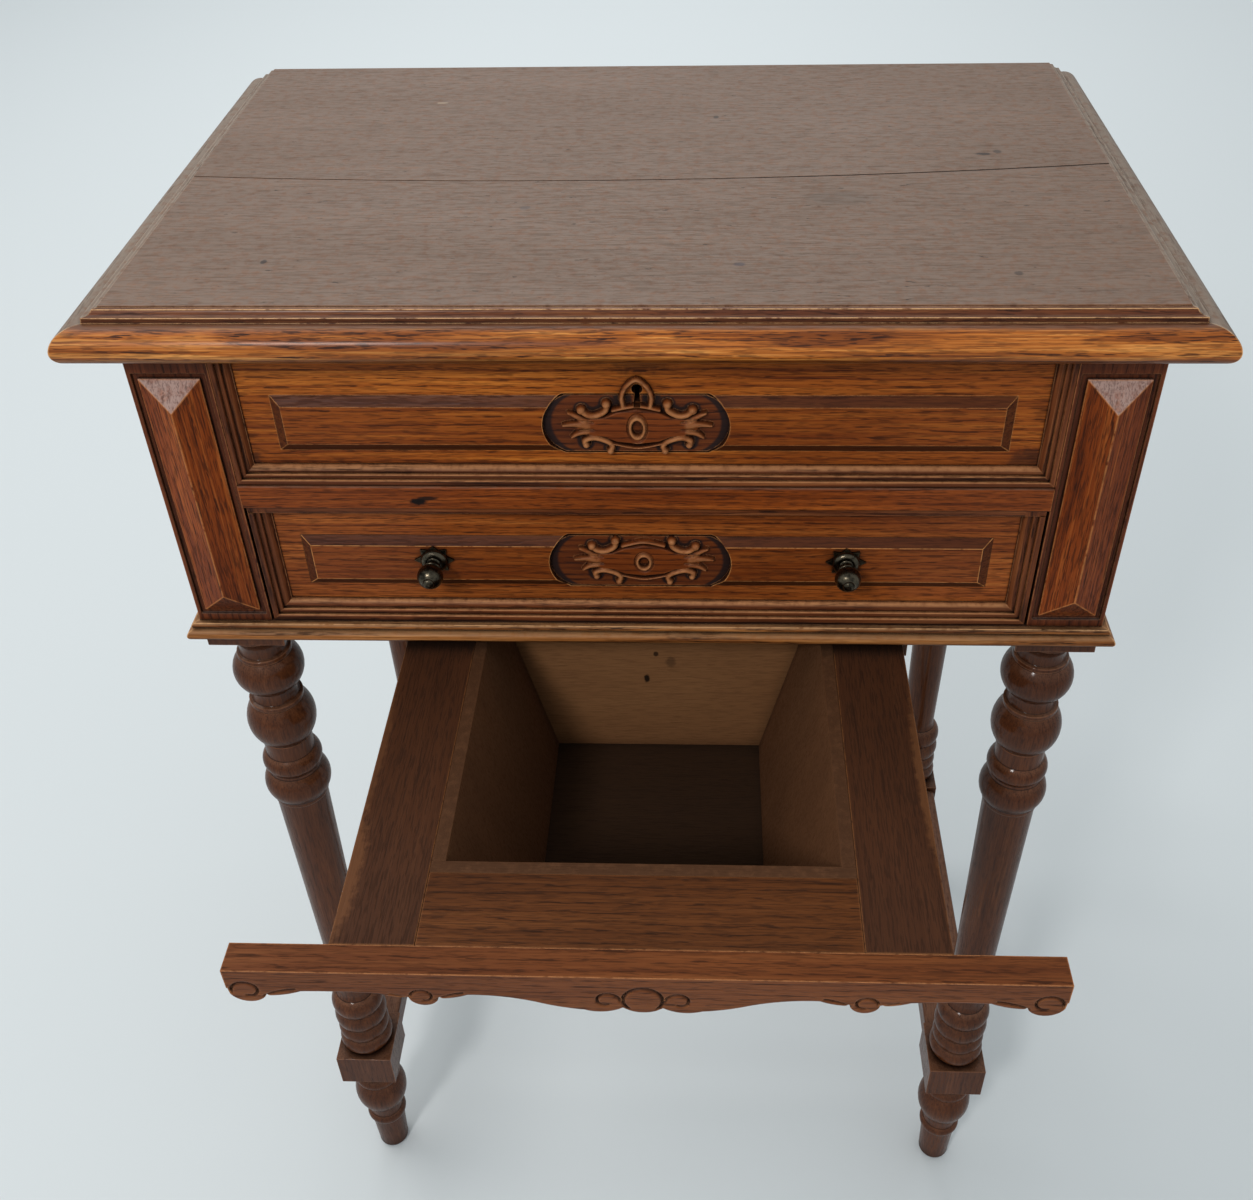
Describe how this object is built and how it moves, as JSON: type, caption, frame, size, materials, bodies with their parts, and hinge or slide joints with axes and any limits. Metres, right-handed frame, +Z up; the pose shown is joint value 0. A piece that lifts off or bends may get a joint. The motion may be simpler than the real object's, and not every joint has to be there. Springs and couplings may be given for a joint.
{
  "type": "sewing table",
  "caption": "Small carved oak sewing table on turned legs: hinged lid over a fitted well, drawer with ball knobs, and a pull-out tapered work bin with a scrolled apron.",
  "frame": {"origin": "on the floor, under the middle of the whole object as stored, with the work bin pulled out", "axes": "+Z up, +Y towards the back (the hinged side of the lid), +X to the right as one faces the drawer"},
  "size_m": [0.5204, 0.5309, 0.752],
  "materials": {
    "oak_top": "worn satin",
    "oak_moulding": "polished, worn",
    "oak_front": "waxed",
    "oak_carcase": "waxed",
    "oak_leg": "polished",
    "oak_bin": "satin",
    "lining_wood": "bare",
    "brass_hinge": "dull",
    "bronze": "dark, polished",
    "steel": "dull"
  },
  "bodies": {
    "table": {"front_left_leg": "oak_leg", "front_right_leg": "oak_leg", "rear_left_leg": "oak_leg", "rear_right_leg": "oak_leg", "left_stretcher": "oak_leg", "right_stretcher": "oak_leg", "cross_stretcher": "oak_leg", "front_left_post": "oak_front", "front_right_post": "oak_front", "rear_left_post": "oak_carcase", "rear_right_post": "oak_carcase", "post_lozenges": "oak_front", "left_side_panel": "oak_carcase", "right_side_panel": "oak_carcase", "back_panel": "oak_carcase", "bottom_board": "oak_carcase", "base_moulding_front": "oak_moulding", "base_moulding_left": "oak_moulding", "base_moulding_right": "oak_moulding", "upper_front_panel": "oak_front", "upper_front_mouldings": "oak_front", "divider_rail": "oak_front", "well_floor": "lining_wood", "well_dividers": "lining_wood", "drawer_guides": "lining_wood", "left_bin_runner": "oak_bin", "right_bin_runner": "oak_bin", "bin_runner_screws": "steel", "lock_case": "steel", "lock_screws": "steel", "hinge_box_leaves": "brass_hinge", "hinge_box_screws": "steel", "hinge_pins": "brass_hinge"},
    "lid": {"lid_front_board": "oak_top", "lid_rear_board": "oak_top", "lid_moulding_front": "oak_moulding", "lid_moulding_left": "oak_moulding", "lid_moulding_right": "oak_moulding", "hinge_lid_leaves": "brass_hinge", "hinge_lid_screws": "steel", "lock_strike_plate": "steel"},
    "lock_bolt": {"lock_bolt": "steel"},
    "drawer": {"drawer_front": "oak_front", "drawer_front_mouldings": "oak_front", "drawer_left_side": "lining_wood", "drawer_right_side": "lining_wood", "drawer_back": "lining_wood", "drawer_bottom": "lining_wood", "drawer_knobs": "bronze", "knob_rosettes": "bronze"},
    "bin": {"bin_left_rail": "oak_bin", "bin_right_rail": "oak_bin", "bin_front_rail": "oak_bin", "bin_rear_rail": "oak_bin", "bin_apron": "oak_bin", "hopper_left_wall": "lining_wood", "hopper_right_wall": "lining_wood", "hopper_front_wall": "lining_wood", "hopper_rear_wall": "lining_wood", "hopper_floor": "lining_wood"}
  },
  "joints": [
    {"name": "lid_hinge", "type": "hinge", "parent": "table", "child": "lid", "pos_m": [0, 0.26225, 0.73085], "axis": [-1, 0, 0], "range_deg": [0, 100]},
    {"name": "lock_bolt_slide", "type": "slide", "parent": "table", "child": "lock_bolt", "axis": [0, 0, 1], "range_m": [0, 0.007]},
    {"name": "drawer_slide", "type": "slide", "parent": "table", "child": "drawer", "axis": [0, -1, 0], "range_m": [0, 0.2]},
    {"name": "bin_slide", "type": "slide", "parent": "table", "child": "bin", "axis": [0, -1, 0], "range_m": [-0.207, 0]}
  ]
}
